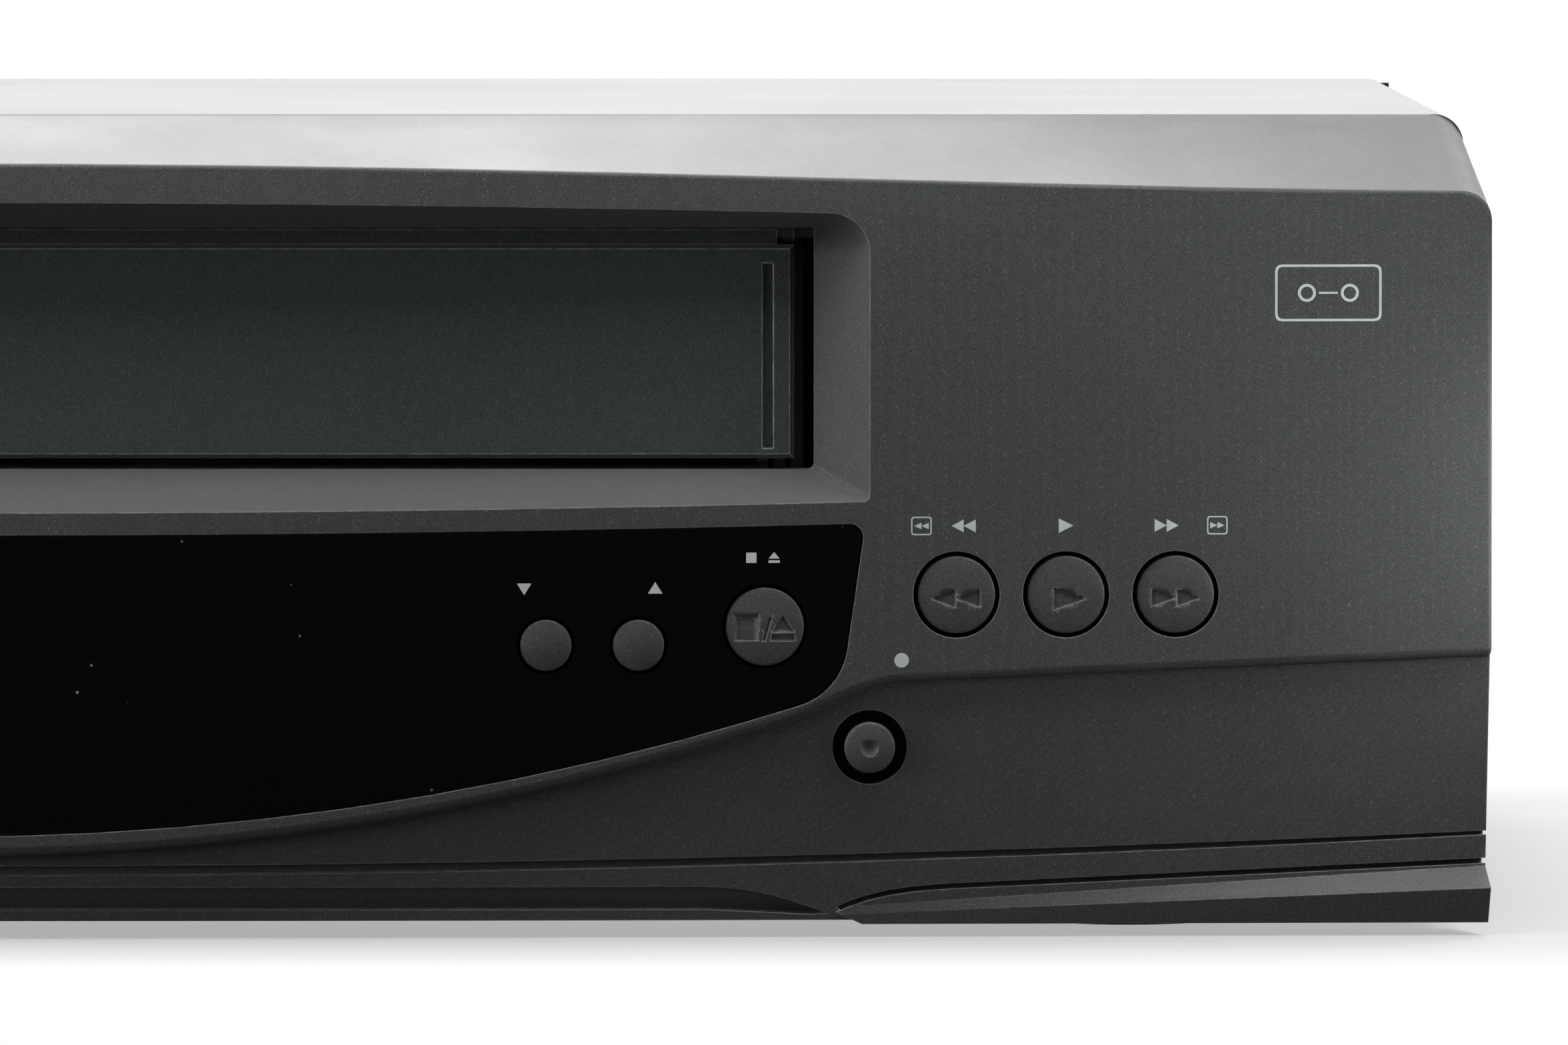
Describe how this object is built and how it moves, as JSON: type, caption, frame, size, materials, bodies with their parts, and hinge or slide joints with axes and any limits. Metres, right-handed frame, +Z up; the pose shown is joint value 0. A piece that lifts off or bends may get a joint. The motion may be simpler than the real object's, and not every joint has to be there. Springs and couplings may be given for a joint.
{
  "type": "video cassette recorder",
  "caption": "Front-loading video cassette recorder with a bowed front, sprung cassette flap, round keys and a tape deck with a two-stage cassette lift.",
  "frame": {"origin": "middle of the overall box at the foot of the feet, on the surface it stands on", "axes": "+Z up, -Y out of the front, +X to the right as seen from the front"},
  "size_m": [0.3598, 0.288, 0.0955],
  "materials": {
    "charcoal_plastic": "fine metallic spray finish",
    "flap_plastic": "fine metallic spray finish",
    "key_plastic": "satin",
    "black_acrylic": "polished",
    "black_plastic": "moulded",
    "white_plastic": "moulded",
    "ribbon_plastic": "satin",
    "sleeve_plastic": "shrink sleeve",
    "circuit_board": "paper laminate",
    "painted_steel": "fine textured paint",
    "zinc_steel": "zinc plated sheet",
    "bright_steel": "bright",
    "aluminium": "turned",
    "plated_brass": "nickel plated",
    "ferrite": "pressed",
    "tube_glass": "clear",
    "black_rubber": "moulded"
  },
  "bodies": {
    "chassis": {"front_bezel": "charcoal_plastic", "display_window": "black_acrylic", "flap_spring": "bright_steel", "tact_switches": "black_plastic", "front_board": "circuit_board", "display_tube": "tube_glass", "remote_receiver": "black_plastic", "front_ribbon": "ribbon_plastic", "top_cover": "painted_steel", "base_pan": "zinc_steel", "rear_panel": "painted_steel", "feet": "black_rubber", "screws": "bright_steel", "scart_sockets": "black_plastic", "phono_sockets": "plated_brass", "tuner": "zinc_steel", "mains_inlet": "black_plastic", "main_board": "circuit_board", "power_board": "circuit_board", "board_chips": "black_plastic", "capacitors": "sleeve_plastic", "switching_transformer": "ferrite", "mains_capacitor": "sleeve_plastic", "heat_sink": "aluminium", "deck_plate": "zinc_steel", "deck_frame_left": "zinc_steel", "deck_frame_right": "zinc_steel", "lower_drum": "aluminium", "capstan_bearing": "plated_brass", "drive_belt": "black_rubber", "erase_head": "bright_steel", "audio_control_head": "bright_steel", "loading_motor": "bright_steel"},
    "flap": {"cassette_flap": "flap_plastic"},
    "rewind": {"rewind_key": "key_plastic"},
    "play": {"play_key": "key_plastic"},
    "forward": {"forward_key": "key_plastic"},
    "record": {"record_key": "key_plastic"},
    "stop_eject": {"stop_eject_key": "key_plastic"},
    "channel_down": {"channel_down_key": "key_plastic"},
    "channel_up": {"channel_up_key": "key_plastic"},
    "standby": {"standby_key": "key_plastic"},
    "carriage": {"loading_carriage": "zinc_steel"},
    "basket": {"cassette_basket": "zinc_steel"},
    "pinion": {"carriage_pinion": "white_plastic"},
    "drum": {"upper_drum": "aluminium", "drum_rotor": "bright_steel"},
    "capstan": {"capstan": "bright_steel"},
    "clutch": {"clutch_pulley": "white_plastic"},
    "pinch_lever": {"pinch_arm": "bright_steel"},
    "roller": {"pinch_roller": "black_rubber"},
    "supply_reel": {"supply_reel_table": "white_plastic"},
    "take_up_reel": {"take_up_reel_table": "white_plastic"},
    "idler": {"idler_arm": "bright_steel"},
    "idler_wheel": {"idler_gear": "white_plastic"},
    "tension": {"tension_arm": "bright_steel"},
    "supply_post": {"supply_guide": "plated_brass"},
    "take_up_post": {"take_up_guide": "plated_brass"},
    "cam": {"cam_gear": "white_plastic"},
    "worm": {"loading_worm": "white_plastic"}
  },
  "joints": [
    {"name": "flap_hinge", "type": "hinge", "parent": "chassis", "child": "flap", "pos_m": [0, -0.1306, 0.0822], "axis": [1, 0, 0], "range_deg": [0, 84], "stiffness_Nm_per_rad": 0.012, "springref_deg": -14.32},
    {"name": "rewind_press", "type": "slide", "parent": "chassis", "child": "rewind", "axis": [0, 1, 0], "range_m": [0, 0.001], "stiffness_N_per_m": 400},
    {"name": "play_press", "type": "slide", "parent": "chassis", "child": "play", "axis": [0, 1, 0], "range_m": [0, 0.001], "stiffness_N_per_m": 400},
    {"name": "forward_press", "type": "slide", "parent": "chassis", "child": "forward", "axis": [0, 1, 0], "range_m": [0, 0.001], "stiffness_N_per_m": 400},
    {"name": "record_press", "type": "slide", "parent": "chassis", "child": "record", "axis": [0, 1, 0], "range_m": [0, 0.001], "stiffness_N_per_m": 400},
    {"name": "stop_eject_press", "type": "slide", "parent": "chassis", "child": "stop_eject", "axis": [0, 1, 0], "range_m": [0, 0.001], "stiffness_N_per_m": 400},
    {"name": "channel_down_press", "type": "slide", "parent": "chassis", "child": "channel_down", "axis": [0, 1, 0], "range_m": [0, 0.001], "stiffness_N_per_m": 400},
    {"name": "channel_up_press", "type": "slide", "parent": "chassis", "child": "channel_up", "axis": [0, 1, 0], "range_m": [0, 0.001], "stiffness_N_per_m": 400},
    {"name": "standby_press", "type": "slide", "parent": "chassis", "child": "standby", "axis": [0, 1, 0], "range_m": [0, 0.001], "stiffness_N_per_m": 400},
    {"name": "carriage_in", "type": "slide", "parent": "chassis", "child": "carriage", "axis": [0, 1, 0], "range_m": [0, 0.04]},
    {"name": "basket_down", "type": "slide", "parent": "carriage", "child": "basket", "axis": [0, 0, -1], "range_m": [0, 0.021]},
    {"name": "pinion_turn", "type": "hinge", "parent": "chassis", "child": "pinion", "pos_m": [0.0969, -0.0371, 0.0881], "axis": [1, 0, 0], "range_deg": [0, 511]},
    {"name": "drum_spin", "type": "hinge", "parent": "chassis", "child": "drum", "pos_m": [0, 0.07, 0.0276], "axis": [0.0872, 0, 0.9962], "continuous": true},
    {"name": "capstan_spin", "type": "hinge", "parent": "chassis", "child": "capstan", "pos_m": [0.062, 0.032, 0.0276], "axis": [0, 0, 1], "continuous": true},
    {"name": "clutch_spin", "type": "hinge", "parent": "chassis", "child": "clutch", "pos_m": [0, -0.0315, 0.0276], "axis": [0, 0, 1], "continuous": true},
    {"name": "pinch_swing", "type": "hinge", "parent": "chassis", "child": "pinch_lever", "pos_m": [0.088, 0.04, 0.0276], "axis": [0, 0, 1], "range_deg": [0, 35]},
    {"name": "roller_spin", "type": "hinge", "parent": "pinch_lever", "child": "roller", "pos_m": [0.07153, 0.04532, 0.0426], "axis": [0, 0, 1], "continuous": true},
    {"name": "supply_reel_spin", "type": "hinge", "parent": "chassis", "child": "supply_reel", "pos_m": [-0.046, -0.0315, 0.0276], "axis": [0, 0, 1], "continuous": true},
    {"name": "take_up_reel_spin", "type": "hinge", "parent": "chassis", "child": "take_up_reel", "pos_m": [0.046, -0.0315, 0.0276], "axis": [0, 0, 1], "continuous": true},
    {"name": "idler_swing", "type": "hinge", "parent": "chassis", "child": "idler", "pos_m": [0, -0.0315, 0.0276], "axis": [0, 0, 1], "range_deg": [-49, 49]},
    {"name": "idler_wheel_spin", "type": "hinge", "parent": "idler", "child": "idler_wheel", "pos_m": [0, -0.0092, 0.0276], "axis": [0, 0, 1], "continuous": true},
    {"name": "tension_swing", "type": "hinge", "parent": "chassis", "child": "tension", "pos_m": [-0.07, 0.0265, 0.0276], "axis": [0, 0, 1], "range_deg": [0, 22]},
    {"name": "supply_post_load", "type": "hinge", "parent": "chassis", "child": "supply_post", "pos_m": [-0.1, 0.031, 0.0276], "axis": [0, 0, 1], "range_deg": [0, 43]},
    {"name": "take_up_post_load", "type": "hinge", "parent": "chassis", "child": "take_up_post", "pos_m": [0.1, 0.031, 0.0276], "axis": [0, 0, -1], "range_deg": [0, 43]},
    {"name": "cam_turn", "type": "hinge", "parent": "chassis", "child": "cam", "pos_m": [-0.084, 0.0645, 0.0276], "axis": [0, 0, 1], "range_deg": [0, 200]},
    {"name": "worm_turn", "type": "hinge", "parent": "chassis", "child": "worm", "pos_m": [-0.084, 0.0838, 0.0331], "axis": [1, 0, 0], "range_deg": [0, 3600]}
  ],
  "couplings": [
    {"joint": "pinion_turn", "follows": "carriage_in", "rad_per_m": 222.22},
    {"joint": "clutch_spin", "follows": "capstan_spin", "ratio": 0.54167},
    {"joint": "idler_wheel_spin", "follows": "capstan_spin", "ratio": -0.45139},
    {"joint": "take_up_post_load", "follows": "supply_post_load", "ratio": 1},
    {"joint": "worm_turn", "follows": "cam_turn", "ratio": 18}
  ]
}
